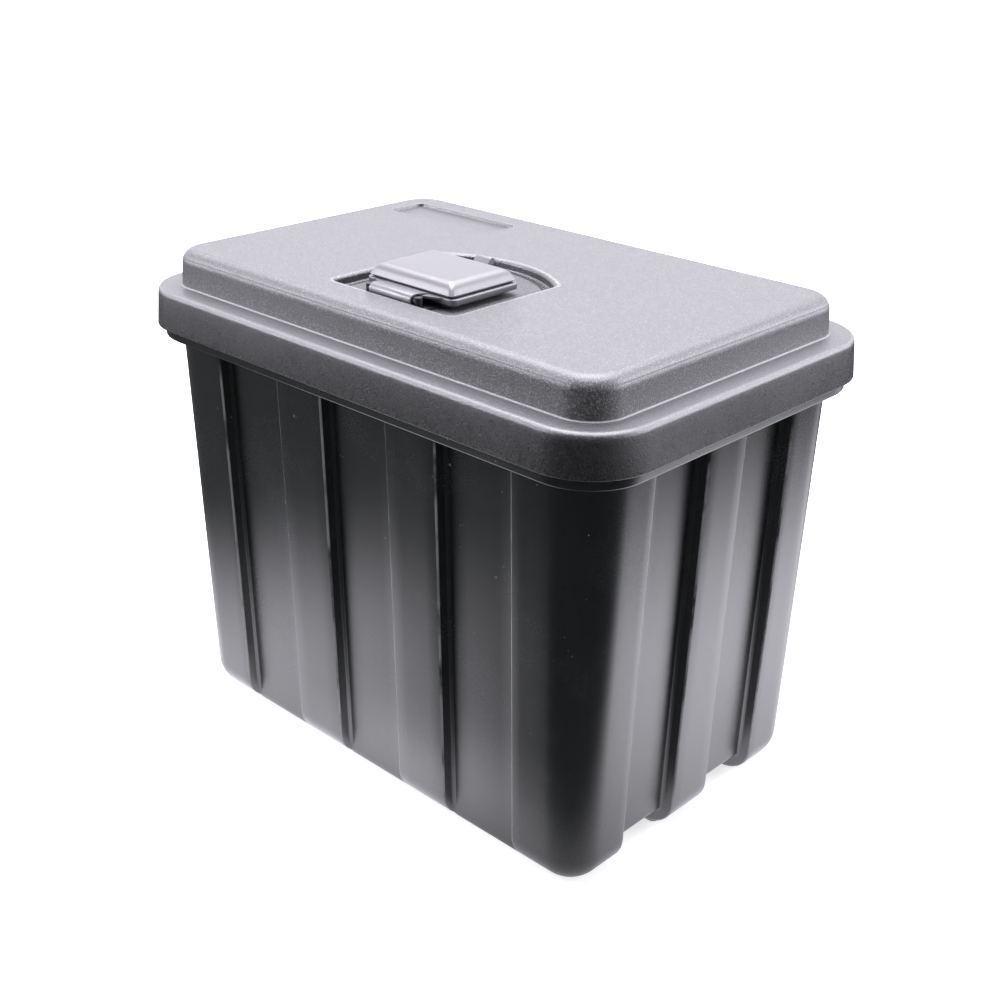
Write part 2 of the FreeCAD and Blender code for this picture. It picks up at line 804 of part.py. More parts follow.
def make_stop_washer():
    low = washer_top - stop_washer_thickness
    washer = on_latch(stop_washer_radius, low, washer_top)
    half_tab = stop_tab_width / 2
    tab = box(-stop_tab_reach, 0, latch_y - half_tab, latch_y + half_tab, low, washer_top)
    hole = square_bar(spindle_square + 2 * pin_clearance, low - reach, washer_top + reach)
    return washer.fuse(tab).cut(hole)


def make_latch_cam():
    """A bent bar: a hub on the square, a straight drop, and a tongue that goes under the keeper.

    It is drawn pointing at the keeper and turned back to where the lid can open.
    """
    drop_y = latch_y - cam_drop_at
    tip_y = latch_y - cam_reach
    tongue_low = tongue_top - cam_thickness
    half = cam_width / 2
    front_y = drop_y - cam_thickness
    points = [(latch_y + half, cam_top), (front_y, cam_top), (front_y, tongue_top), (tip_y, tongue_top),
              (tip_y, tongue_low), (drop_y, tongue_low), (drop_y, cam_low), (latch_y + half, cam_low)]
    cam = across(points, -half, half)
    cam = round_edges(cam, half - play, lambda edge: edge.BoundBox.ZLength > reach
                      and edge.BoundBox.XLength < touching and edge.BoundBox.YLength < touching
                      and (edge.BoundBox.YMin > latch_y or edge.BoundBox.YMax < tip_y + reach))
    cam = cam.cut(square_bar(spindle_square + 2 * pin_clearance, cam_low - reach, cam_top + reach))
    return turned(cam, latch_turn_angle, latch_y)


def make_spring_washer():
    washer = on_latch(spring_washer_radius, nut_top, cam_low)
    return washer.cut(on_latch(stud_radius + pin_clearance, nut_top - reach, cam_low + reach))


def make_cam_nut():
    low = nut_top - nut_height
    return hexagon(nut_across_flats, low, nut_top).cut(on_latch(stud_radius, low - reach, nut_top + reach))


def make_lock_plug():
    top = handle_top + plug_proud
    plug = on_latch(plug_radius, handle_top - plug_depth, top)
    keyway = box(-keyway_width / 2, keyway_width / 2, latch_y - keyway_length / 2,
                 latch_y + keyway_length / 2, top - keyway_depth, top + reach)
    return plug.cut(keyway)


def make_plug_tail():
    high = handle_top - plug_depth
    half = plug_tail_width / 2
    tail = box(0, plug_tail_reach, latch_y - half, latch_y + half, high - plug_tail_height, high)
    return tail.fuse(on_latch(plug_radius - play, high - plug_tail_height, high)).common(
        on_latch(plug_tail_reach, high - plug_tail_height, high))


# Dust cover: a flange, a bead and a dome, with the sheet rolled round the hinge bar


def dome_half(z, inset):
    """Half the dome's length and width at height z, moved inwards by inset."""
    lean = cover_dome_slope * (z - flange_low) / cover_dome_height + inset
    return cover_half_width - cover_flange_ends - lean, cover_half_depth - cover_flange_sides - lean


def cover_dome(inset, low):
    """The dome as one block, moved inwards by inset."""
    top = flange_low + cover_dome_height - inset
    knee = top - cover_dome_bevel
    corner = cover_dome_corner - inset
    walls = [(*dome_half(z, inset), corner, z) for z in (low, knee)]
    crown = (*dome_half(top, inset + cover_dome_bevel), corner, top)
    return faceted(walls + [crown], latch_y)


def cover_roll():
    """The rolled sheet: a tube open towards the latch, and the strap that joins it to the flange."""
    half = cover_roll_length / 2
    start = Vector(-half, bar_y, bar_z)
    end = Vector(half, bar_y, bar_z)
    bore = rod(cover_roll_radius - cover_wall, start - Vector(reach, 0, 0), end + Vector(reach, 0, 0))
    roll = rod(cover_roll_radius, start, end).cut(bore)
    mouth = math.radians(cover_roll_end_angle)
    wide = 3 * cover_roll_radius
    opening = [(bar_y, bar_z), (bar_y, bar_z + wide), (bar_y + wide, bar_z + wide),
               (bar_y + wide, bar_z - wide),
               (bar_y + wide * math.cos(mouth), bar_z + wide * math.sin(mouth))]
    wedge = across(opening, -half - reach, half + reach)
    top = bar_z + cover_roll_radius
    under = top - cover_wall
    strap = across([(bar_y, top), (bar_y + cover_wall, top), (cover_front_y + cover_wall, flange_top),
                    (cover_front_y + cover_wall, flange_low), (cover_front_y, flange_low),
                    (bar_y + cover_wall, under), (bar_y, under)], -half, half)
    return roll.cut(wedge).fuse(strap)


def make_dust_cover():
    flange_corners = rectangle(cover_half_width, cover_half_depth, cover_corner, 0, latch_y)
    flange = upright(flange_corners, flange_low, flange_top)
    bead_x = cover_half_width - cover_flange_ends + cover_bead
    bead_y = cover_half_depth - cover_flange_sides + cover_bead
    bead_top = flange_top + cover_bead_height
    bead = upright(rectangle(bead_x, bead_y, cover_corner, 0, latch_y), flange_low, bead_top)
    bead = bevel_edges(bead, cover_bead / 2, lambda edge: level(edge, bead_top))
    cover = cover_dome(0, flange_low).fuse([flange, bead])
    cover = cover.cut(cover_dome(cover_wall, flange_low - reach))
    tab_root = latch_y + cover_half_depth - reach
    tab_end = latch_y + cover_half_depth + cover_tab_length
    tab = box(-cover_tab_width / 2, cover_tab_width / 2, tab_root, tab_end, flange_low, flange_top)
    curl = rod(cover_tab_curl, Vector(-cover_tab_width / 2, tab_end, flange_low + cover_tab_curl),
               Vector(cover_tab_width / 2, tab_end, flange_low + cover_tab_curl))
    return cover.fuse([cover_roll(), tab, curl])


export("body_shell", make_body_shell())
export("keeper", make_keeper())
export("keeper_screws", *make_keeper_screws())
export("hinge_pin_left", make_hinge_pin(hinge_places[0]))
export("hinge_pin_right", make_hinge_pin(hinge_places[1]))
export("hinge_pin_caps", *make_pin_caps())
export("lid_shell", make_lid_shell())
export("lid_seal", make_lid_seal())
export("lock_housing", make_lock_housing())
export("housing_gasket", make_housing_gasket())
export("housing_nut", make_housing_nut())
export("cover_hinge_bar", make_cover_hinge_bar())
export("turn_handle", make_turn_handle())
export("spindle", make_spindle())
export("spindle_seal", make_oring())
export("stop_washer", make_stop_washer())
export("latch_cam", make_latch_cam())
export("spring_washer", make_spring_washer())
export("cam_nut", make_cam_nut())
export("lock_plug", make_lock_plug())
export("plug_tail", make_plug_tail())
export("dust_cover", make_dust_cover())
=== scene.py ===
import math

import bpy
import numpy as np
from mathutils import Matrix, Vector
from mathutils.geometry import delaunay_2d_cdt


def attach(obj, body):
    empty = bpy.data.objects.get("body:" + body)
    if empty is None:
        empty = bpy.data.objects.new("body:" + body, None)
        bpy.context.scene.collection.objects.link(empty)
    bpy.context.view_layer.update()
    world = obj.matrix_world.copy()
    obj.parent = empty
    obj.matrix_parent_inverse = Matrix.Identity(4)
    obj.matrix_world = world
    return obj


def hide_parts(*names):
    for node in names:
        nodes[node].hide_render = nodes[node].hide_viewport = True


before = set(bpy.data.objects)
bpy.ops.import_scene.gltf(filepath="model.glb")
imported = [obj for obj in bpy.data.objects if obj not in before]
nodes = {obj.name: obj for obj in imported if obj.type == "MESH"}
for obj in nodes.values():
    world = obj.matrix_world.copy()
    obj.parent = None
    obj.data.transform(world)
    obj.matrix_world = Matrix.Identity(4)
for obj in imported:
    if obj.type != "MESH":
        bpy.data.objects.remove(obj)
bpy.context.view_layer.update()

# The camera looks down on the box's front right corner from a little over a metre away,
# with a normal lens and a slight roll, as the photograph was taken.
view_azimuth = math.radians(43.2)
view_elevation = math.radians(24.454)
view_roll = math.radians(0.951)
view_distance = 1.220
view_target = Vector((0.0011, 0.01138, 0.20681))
view_lens = 52.412

backwards = Vector((math.sin(view_azimuth) * math.cos(view_elevation),
                    -math.cos(view_azimuth) * math.cos(view_elevation), math.sin(view_elevation)))
level_right = Vector((math.cos(view_azimuth), math.sin(view_azimuth), 0.0))
view_frame = Matrix((level_right, backwards.cross(level_right), backwards)).transposed().to_4x4()
camera_data = bpy.data.cameras.new("camera")
camera_data.lens = view_lens
camera_data.sensor_width = 36.0
camera = bpy.data.objects.new("camera", camera_data)
camera.matrix_world = (Matrix.Translation(view_target + backwards * view_distance) @ view_frame
                       @ Matrix.Rotation(view_roll, 4, "Z"))
bpy.context.scene.collection.objects.link(camera)
bpy.context.scene.camera = camera
bpy.context.scene.view_settings.view_transform = "Standard"


# The studio is a pale sweep of board under a tent of soft light, with one big lamp overhead, one on
# each side and a weak one above the camera. Straight to the camera the tent is plain white, and the
# board glows white far off but less near the box, a painted shade round it that lets its real shadow
# show. What the box mirrors is a board lit in patches and a tent that is dark on the camera's side.
class Signal:
    """A shader socket that takes part in ordinary arithmetic: each operation adds its Math node."""

    def __init__(self, tree, socket):
        self.tree = tree
        self.socket = socket

    def combine(self, operation, first, second):
        node = self.tree.nodes.new("ShaderNodeMath")
        node.operation = operation
        for value, slot in zip((first, second), node.inputs):
            connect(self.tree, value, slot)
        return Signal(self.tree, node.outputs[0])

    def __add__(self, other):
        return self.combine("ADD", self, other)

    def __sub__(self, other):
        return self.combine("SUBTRACT", self, other)

    def __mul__(self, other):
        return self.combine("MULTIPLY", self, other)

    def __rsub__(self, other):
        return self.combine("SUBTRACT", other, self)

    def largest(self, other):
        return self.combine("MAXIMUM", self, other)

    __radd__ = __add__
    __rmul__ = __mul__


def connect(tree, value, slot):
    """Links a signal to a node's input, or sets the input to a plain value."""
    if isinstance(value, Signal):
        tree.links.new(value.socket, slot)
    else:
        slot.default_value = value


class Finish:
    """A material, or the world, while its nodes are put together."""

    def __init__(self, tree):
        self.tree = tree
        tree.nodes.clear()

    def add(self, kind, inputs=None, output=0, **settings):
        """Adds one node: its settings first, then the values or links of its sockets."""
        node = self.tree.nodes.new(kind)
        for setting, value in settings.items():
            setattr(node, setting, value)
        for name, value in (inputs or {}).items():
            connect(self.tree, value, node.inputs[name])
        return Signal(self.tree, node.outputs[output]) if node.outputs else None

    def place(self):
        """The point on the piece, in metres."""
        return self.add("ShaderNodeTexCoord", output="Object")

    def stretched(self, scale):
        """The point on the piece with its axes scaled by three factors."""
        return self.add("ShaderNodeMapping", {"Vector": self.place(), "Scale": scale})

    def noise(self, scale, detail=2.0, where=None, roughness=0.5):
        """Smooth noise from 0 to 1; scale is its number of features in a metre."""
        return self.add("ShaderNodeTexNoise", {"Vector": where or self.place(), "Scale": scale,
                                               "Detail": detail, "Roughness": roughness})

    def vector(self, operation, first, second=(0.0, 0.0, 0.0)):
        """Vector arithmetic: a length or a dot product gives a number, and the rest a vector."""
        output = "Value" if operation in ("LENGTH", "DOT_PRODUCT") else 0
        return self.add("ShaderNodeVectorMath", {0: first, 1: second}, output, operation=operation)

    def painted(self, name):
        """The number that the piece's points carry under a name."""
        return self.add("ShaderNodeAttribute", output="Fac", attribute_name=name)

    def step(self, value, low, high):
        """0 below low and 1 above high, with a soft ramp between."""
        return self.add("ShaderNodeMapRange", {"Value": value, "From Min": low, "From Max": high},
                        interpolation_type="SMOOTHSTEP")

    def blend(self, share, first, second):
        """The first colour where share is 0, and the second where it is 1."""
        node = self.tree.nodes.new("ShaderNodeMix")
        node.data_type = "RGBA"
        for value, slot in zip((share, first, second), (node.inputs[0], node.inputs[6], node.inputs[7])):
            connect(self.tree, value, slot)
        return Signal(self.tree, node.outputs[2])

    def bump(self, height, depth, under=None):
        """Relief of a height from 0 to 1 that stands depth metres high, over other relief."""
        inputs = {"Height": height, "Distance": depth, "Strength": 1.0}
        if under:
            inputs["Normal"] = under
        return self.add("ShaderNodeBump", inputs)


def material(name, **constants):
    """A new material with one Principled shader, and its sockets set to plain values."""
    block = bpy.data.materials.new(name)
    block.use_nodes = True
    finish = Finish(block.node_tree)
    finish.block = block
    shader = finish.add("ShaderNodeBsdfPrincipled", {key.replace("_", " "): value
                                                     for key, value in constants.items()})
    finish.shader = shader.socket.node
    finish.add("ShaderNodeOutputMaterial", {"Surface": shader})
    return finish


def drive(finish, **signals):
    """Feeds signals into the Principled shader's sockets."""
    for key, value in signals.items():
        connect(finish.tree, value, finish.shader.inputs[key.replace("_", " ")])


def ray(finish, *kinds):
    """1 for light paths of these kinds, such as the camera's own, and 0 for the rest."""
    paths = [finish.add("ShaderNodeLightPath", output=f"Is {kind} Ray") for kind in kinds]
    total = paths[0]
    for path in paths[1:]:
        total = total.largest(path)
    return total


def mesh_object(name, points, faces, finish, body):
    """A mesh piece from points in millimetres, smooth but for its real edges, riding on a body."""
    mesh = bpy.data.meshes.new(name)
    mesh.from_pydata((np.asarray(points) * 0.001).tolist(), [], faces)
    mesh.shade_smooth()
    mesh.set_sharp_from_angle(angle=math.radians(32.0))
    mesh.validate()
    piece = bpy.data.objects.new(name, mesh)
    bpy.context.scene.collection.objects.link(piece)
    mesh.materials.append(finish.block)
    if body:
        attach(piece, body)
    return piece


def paint(piece, name, values):
    """Gives each point of a piece a number that its finish can read."""
    piece.data.attributes.new(name, "FLOAT", "POINT").data.foreach_set("value", values)


board_half = 6000.0
white = (1.0, 1.0, 1.0, 1.0)
cool_white = (0.985, 0.97, 1.05, 1.0)
board = material("studio_board", Roughness=0.6, Specular_IOR_Level=0.0)
board_place = board.place()
towards_viewer = (backwards.x, backwards.y, 0.0)


def pool(centre, reach):
    """A soft oval patch of the board: 1 at its centre, and 0 from its reach in x and y on."""
    offset = board.vector("SUBTRACT", board_place, centre)
    share = board.vector("DIVIDE", offset, reach)
    return board.step(board.vector("LENGTH", share), 1.0, 0.0)


viewer_side = board.vector("DOT_PRODUCT", board_place, towards_viewer)
board_light = (0.10 + pool((-0.22, -0.17, 0.0), (0.40, 0.32, 1.0)) * 2.1
               + pool((0.05, -0.17, 0.0), (0.22, 0.09, 1.0)) * 1.4
               + pool((0.36, 0.30, 0.0), (0.34, 1.10, 1.0)) * 2.7)
board_light = board_light * (1.0 - board.step(viewer_side, 0.12, 0.33) * 0.97)
# Seen straight on, the board glows less near the box: a painted shade round it.
centre_distance = board.vector("LENGTH", board_place)
mirrored = ray(board, "Glossy")
drive(board, Base_Color=board.blend(mirrored, (0.86, 0.86, 0.87, 1.0), (0.02, 0.02, 0.02, 1.0)),
      Emission_Color=board.blend(mirrored, white, cool_white),
      Emission_Strength=(ray(board, "Camera") * (0.68 + board.step(centre_distance, 0.30, 0.9) * 0.5)
                         + mirrored * board_light))
board_corners = [(-board_half, -board_half, 0), (board_half, -board_half, 0),
                 (board_half, board_half, 0), (-board_half, board_half, 0)]
floor = mesh_object("floor", board_corners, [(0, 1, 2, 3)], board, None)

world = bpy.data.worlds.new("tent")
world.use_nodes = True
bpy.context.scene.world = world
tent = Finish(world.node_tree)
tent_light = 0.32
direction = tent.add("ShaderNodeTexCoord", output="Generated")
viewer_lobe = tent.vector("DOT_PRODUCT", direction, tuple(backwards))
right_lobe = tent.vector("DOT_PRODUCT", direction, (0.74, 0.66, 0.10))
surround = 2.0 + tent.step(right_lobe, 0.50, 0.95) * 1.5 - tent.step(viewer_lobe, -0.10, 0.42) * 1.96
in_gloss = ray(tent, "Glossy")
tent_level = (tent_light + (1.0 - tent_light) * ray(tent, "Camera", "Transmission")
              + in_gloss * (surround - tent_light))
tent_colour = tent.blend(in_gloss, white, cool_white)
background = tent.add("ShaderNodeBackground", {"Color": tent_colour, "Strength": tent_level})
tent.add("ShaderNodeOutputWorld", {"Surface": background})


lamp_distance = 2.2
lamp_target = Vector((0.0, 0.0, 0.25))


def lamp(name, azimuth, elevation, width, height, power):
    """A soft rectangular lamp that faces the box from a direction given in degrees."""
    data = bpy.data.lights.new(name, "AREA")
    data.shape = "RECTANGLE"
    data.size = width
    data.size_y = height
    data.energy = power
    data.color = cool_white[:3]
    turn = math.radians(azimuth)
    rise = math.radians(elevation)
    away = Vector((math.sin(turn) * math.cos(rise), -math.cos(turn) * math.cos(rise), math.sin(rise)))
    light = bpy.data.objects.new(name, data)
    light.location = lamp_target + away * lamp_distance
    light.rotation_euler = away.to_track_quat("Z", "Y").to_euler()
    bpy.context.scene.collection.objects.link(light)


lamp("overhead_lamp", 223.0, 78.0, 2.4, 2.2, 120.0)
lamp("left_lamp", -43.0, 24.0, 0.8, 0.8, 26.0)
lamp("right_lamp", 134.0, 22.0, 0.8, 0.8, 18.0)
lamp("viewer_lamp", 43.0, 58.0, 1.0, 1.0, 7.0)


# The tub is one moulding of black polypropylene with a satin face. Its walls lean in towards the
# base and are folded into upright bands and channels, and its rim turns down into a stiff lip.
lid_half = np.array([250.0, 167.0])
tub_corner = 39.0
tub_wall = 3.5
rim_top = 366.0
rim_under = 362.5
face_inset = 17.6
face_lean = 11.1
base_level = 2.0
base_radius = 26.0
band_depth = 10.0
band_slope = 1.2
long_channels = [(-159.5, -87.5), (-35.5, 35.5), (87.5, 159.5)]
short_channels = [(-82.0, -22.0), (22.0, 82.0)]
scoop_height = 21.0
scoop_run = 44.0
lip_inset = 6.2
lip_corner = 46.0
lip_low = 337.0
lip_wall = 3.2
arc_steps = 14


def fold(outer_radius, inner_radius, steps=5):
    """A band's edge in section, as distance along the wall and share of the channel's depth.

    A convex arc leaves the band's face, a steep line goes in, and a concave arc meets the floor.
    """
    angle = math.atan2(band_depth, band_slope)
    sweep = np.linspace(0.0, angle, steps)
    near_run = outer_radius * math.tan(angle / 2)
    far_run = inner_radius * math.tan(angle / 2)
    near = np.stack([-near_run + outer_radius * np.sin(sweep), outer_radius * (1 - np.cos(sweep))], axis=1)
    back = sweep[::-1]
    far = np.stack([band_slope + far_run - inner_radius * np.sin(back),
                    band_depth - inner_radius * (1 - np.cos(back))], axis=1)
    section = np.concatenate([near, far])
    return section[:, 0], section[:, 1] / band_depth


def folded_side(half_run, channels, wall, between=5):
    """A side's columns from end to end: distances along it, and shares of the channel's depth."""
    along, share = fold(1.8, 3.0) if wall == 0 else fold(1.0, 6.0)
    places = [np.linspace(-half_run, channels[0][0] - wall + along[0], between)[:-1]]
    shares = [np.zeros(between - 1)]
    for number, (near, far) in enumerate(channels):
        into = near - wall + along
        out = (far + wall - along)[::-1]
        following = channels[number + 1][0] - wall + along[0] if number + 1 < len(channels) else half_run
        places += [into, np.linspace(into[-1], out[0], between)[1:-1], out,
                   np.linspace(out[-1], following, between)[1:-1]]
        shares += [share, np.ones(between - 2), share[::-1], np.zeros(between - 2)]
    return np.append(np.concatenate(places), half_run), np.append(np.concatenate(shares), 0.0)


class Ring:
    """Columns round a rounded rectangle, anticlockwise from the front side's left end.

    A column's point is a fixed part, plus a share of the core's half sizes, plus a distance along
    its outward normal. Parts of a side within keep of its middle don't move when the core changes.
    """

    def __init__(self, core, long_side, short_side, keep):
        fixed, stretch, normal, share, is_long = [], [], [], [], []
        for quarter in range(4):
            places, shares = long_side if quarter % 2 == 0 else short_side
            limit = keep[quarter % 2]
            beyond = np.clip((np.abs(places) - limit) / (core[quarter % 2] - limit), 0.0, None)
            kept = np.where(beyond > 0, np.sign(places) * limit * (1 - beyond), places)
            turn = quarter * math.pi / 2
            along = np.array([math.cos(turn), math.sin(turn)])
            out = np.array([math.sin(turn), -math.cos(turn)])
            fixed.append(kept[:, None] * along)
            stretch.append((np.sign(places) * beyond)[:, None] * along + out)
            normal.append(np.broadcast_to(out, (len(places), 2)))
            share.append(shares)
            is_long.append(np.full(len(places), quarter % 2 == 0))
            sweep = (turn - math.pi / 2) + np.linspace(0.0, math.pi / 2, arc_steps + 1)[1:-1]
            fixed.append(np.zeros((len(sweep), 2)))
            stretch.append(np.broadcast_to(along + out, (len(sweep), 2)))
            normal.append(np.stack([np.cos(sweep), np.sin(sweep)], axis=1))
            share.append(np.zeros(len(sweep)))
            is_long.append(np.zeros(len(sweep), dtype=bool))
        self.fixed = np.concatenate(fixed)
        self.stretch = np.concatenate(stretch)
        self.normal = np.concatenate(normal)
        self.share = np.concatenate(share)
        self.is_long = np.concatenate(is_long)

    def row(self, core, radius, z, least=2.0):
        """One row of points: a distance along the normals of radius, a number or one per column.

        Where radius is under the least, the core shrinks instead, so that corners stay round.
        """
        radius = np.broadcast_to(radius, len(self.share))
        shrink = np.minimum(radius - least, 0.0)
        middle = self.fixed + self.stretch * (np.asarray(core) + shrink[:, None])
        flat = middle + self.normal * np.maximum(radius, least)[:, None]
        return np.column_stack([flat, np.broadcast_to(z, len(self.share))])


def grid_faces(rows, columns, start=0):
    """Quads between rows of a ring's columns, closed round the ring, facing out for rising rows."""
    row = np.arange(rows - 1)[:, None] * columns + start
    column = np.arange(columns)[None, :]
    following = (column + 1) % columns
    quads = np.stack([row + column, row + following,
                      row + columns + following, row + columns + column], axis=-1)
    return quads.reshape(-1, 4).tolist()


def arc(radius, start, end, steps=6):
    """Points of an arc as (sideways, upwards) from its centre; angles in degrees from the side."""
    sweep = np.radians(np.linspace(start, end, steps))
    return radius * np.cos(sweep), radius * np.sin(sweep)


tub_core = lid_half - face_inset - tub_corner
tub_keep = (157.0, 80.0)


def wall_radius(z):
    """Distance from the core to the band faces at a height: it shrinks evenly towards the base."""
    return tub_corner - face_lean * (rim_top - z) / rim_top


def tub_surface(wall, top):
    """Rows of the tub's outside (wall 0) or inside, from the base's middle up to the top.

    The band's path has a round at the base. The channel's path keeps its depth on the long sides,
    and on the short sides ends in a ramp, the finger scoop. A column takes its share of each.
    """
    ring = Ring(tub_core, folded_side(tub_core[0], long_channels, wall),
                folded_side(tub_core[1], short_channels, wall), tub_keep)
    base = base_level + wall
    radius = base_radius - wall
    deepest = band_depth + scoop_run
    flat_insets = np.linspace(deepest, radius, 6)[:-1]
    side, rise = arc(radius, -90.0, 0.0, 12)
    band_inset = np.concatenate([flat_insets, radius - side])
    band_z = np.concatenate([np.full(5, base), base + radius + rise])
    long_inset = np.sqrt(np.square(np.maximum(band_inset - band_depth, 0.0)) + 4.0) + band_depth - 2.0
    ramp = np.linspace(0.0, 1.0, 11)
    foot = scoop_height + wall
    short_inset = np.concatenate([deepest + (band_depth + 1.0 - deepest) * ramp,
                                  np.array([0.45, 0.12, 0.0, 0.0, 0.0, 0.0]) + band_depth])
    short_z = np.concatenate([base + (foot - base) * ramp,
                              foot + np.array([0.6, 1.5, 3.0, 4.5, 6.0, 7.5])])
    short_z[-1] = band_z[-1]
    rows = []
    for k in range(len(band_inset)):
        channel_inset = np.where(ring.is_long, long_inset[k], short_inset[k])
        channel_z = np.where(ring.is_long, band_z[k], short_z[k])
        inset = band_inset[k] + (channel_inset - band_inset[k]) * ring.share
        z = band_z[k] + (channel_z - band_z[k]) * ring.share
        rows.append(ring.row(tub_core, wall_radius(np.maximum(z, base)) - wall - inset, z))
    for z in np.linspace(band_z[-1], top, 9)[1:]:
        rows.append(ring.row(tub_core, wall_radius(z) - wall - band_depth * ring.share, z))
    return ring, rows


def lip_rows(ring):
    """Rows of the rim's underside, lip and top: (inset from the lip's face, height) pairs."""
    core = lid_half - lip_inset - lip_corner
    round_side, round_rise = arc(1.4, 180.0, 360.0, 7)
    edge_side, edge_rise = arc(2.0, 0.0, 90.0, 6)
    path = [(lip_wall + 1.5, rim_under), (lip_wall + 0.3, rim_under - 0.5), (lip_wall, rim_under - 1.6)]
    path += list(zip(lip_wall / 2 - round_side * lip_wall / 2.8, lip_low + 1.4 + round_rise))
    path += list(zip(2.0 - edge_side, rim_top - 2.0 + edge_rise))
    return [ring.row(core, lip_corner - inset, z) for inset, z in path]


outer_ring, outer_rows = tub_surface(0.0, rim_under)
inner_ring, inner_rows = tub_surface(tub_wall, rim_top - 0.8)
inner_edge_radius = wall_radius(rim_top) - tub_wall + 0.8 - band_depth * inner_ring.share
inner_edge = inner_ring.row(tub_core, inner_edge_radius, rim_top)
tub_rows = outer_rows + lip_rows(outer_ring) + [inner_edge] + inner_rows[::-1]
tub_columns = len(outer_ring.share)
tub_points = np.concatenate(tub_rows)
tub_faces = grid_faces(len(tub_rows), tub_columns)
tub_faces.append(list(range(tub_columns))[::-1])
tub_faces.append(list(range(len(tub_points) - tub_columns, len(tub_points))))


def plastic(name, colour, roughness, grain_depth, grain_scale, edges_worn_and_highlit=False, index=1.85):
    """Black moulded plastic: a fine grain, faint clouds in the gloss, dust, and pale patches on marked edges
    that are partly wear and partly a painted highlight.
    """
    finish = material(name, IOR=index)
    grain = finish.noise(grain_scale, 3.0, roughness=0.62)
    pores = finish.noise(grain_scale * 2.3, 2.0)
    waves = finish.noise(7.0, 1.0)
    clouds = finish.noise(14.0, 4.0)
    specks = finish.step(finish.noise(700.0, 1.0) * finish.noise(90.0, 2.0), 0.49, 0.53)
    pale = (specks * 0.5).largest((clouds - 0.5) * 0.06)
    # Pale patches on the marked edges: partly wear, partly a painted highlight along them.
    if edges_worn_and_highlit:
        patches = finish.step(finish.noise(30.0, 3.0), 0.3, 0.6)
        pale = pale.largest(finish.painted("edge_wear_and_highlight") * patches * 0.45)
    finish.pale = pale
    finish.grain = grain
    finish.gloss = roughness + (clouds - 0.5) * 0.12 + (grain - 0.5) * 0.1
    drive(finish,
          Base_Color=finish.blend(pale, colour, (0.3, 0.3, 0.31, 1.0)),
          Roughness=finish.gloss,
          Normal=finish.bump(grain * 0.7 + pores * 0.3, grain_depth, finish.bump(waves, 0.0004)))
    return finish


tub_plastic = plastic("satin_black_plastic", (0.004, 0.0062, 0.0057, 1.0), 0.25, 0.00006, 1500.0,
                      edges_worn_and_highlit=True)


# Under each band the tub stands on a flat pad. At the back of the lip two pairs of ears carry the
# hinge pins, and a boss inside the front wall takes the keeper's screws. All are moulded with it.
def rounded_outline(corners, steps=8):
    """Points round a polygon of (x, y, radius) corners, each corner rounded by a tangent arc."""
    points = []
    for k, (x, y, radius) in enumerate(corners):
        here = np.array([x, y])
        before = np.array(corners[k - 1][:2]) - here
        after = np.array(corners[(k + 1) % len(corners)][:2]) - here
        before = before / np.linalg.norm(before)
        after = after / np.linalg.norm(after)
        half_angle = math.acos(np.clip(before @ after, -1.0, 1.0)) / 2
        bisector = (before + after) / np.linalg.norm(before + after)
        centre = here + bisector * radius / math.sin(half_angle)
        first = here + before * radius / math.tan(half_angle) - centre
        second = here + after * radius / math.tan(half_angle) - centre
        turn = math.atan2(first[0] * second[1] - first[1] * second[0], first @ second)
        sweep = np.linspace(0.0, turn, steps)
        points.append(centre + np.stack([first[0] * np.cos(sweep) - first[1] * np.sin(sweep),
                                         first[0] * np.sin(sweep) + first[1] * np.cos(sweep)], axis=1))
    return np.concatenate(points)


def rectangle(half_x, half_y, radius, centre=(0.0, 0.0)):
    """A rectangle's four rounded corners, anticlockwise."""
    x, y = centre
    return [(x - half_x, y - half_y, radius), (x + half_x, y - half_y, radius),
            (x + half_x, y + half_y, radius), (x - half_x, y + half_y, radius)]


def inset_rectangle(half_x, half_y, radius, centre):
    """A block's outline function: a rounded rectangle moved inwards by an inset."""
    return lambda inset: rounded_outline(rectangle(half_x - inset, half_y - inset, radius - inset, centre))


def raised(outline, z):
    """An outline's points at one height."""
    return np.column_stack([outline, np.full(len(outline), z)])


def loops_along(outline, path):
    """Loops of an outline function along a section of (margin, height) pairs."""
    return [raised(outline(margin), z) for margin, z in path]


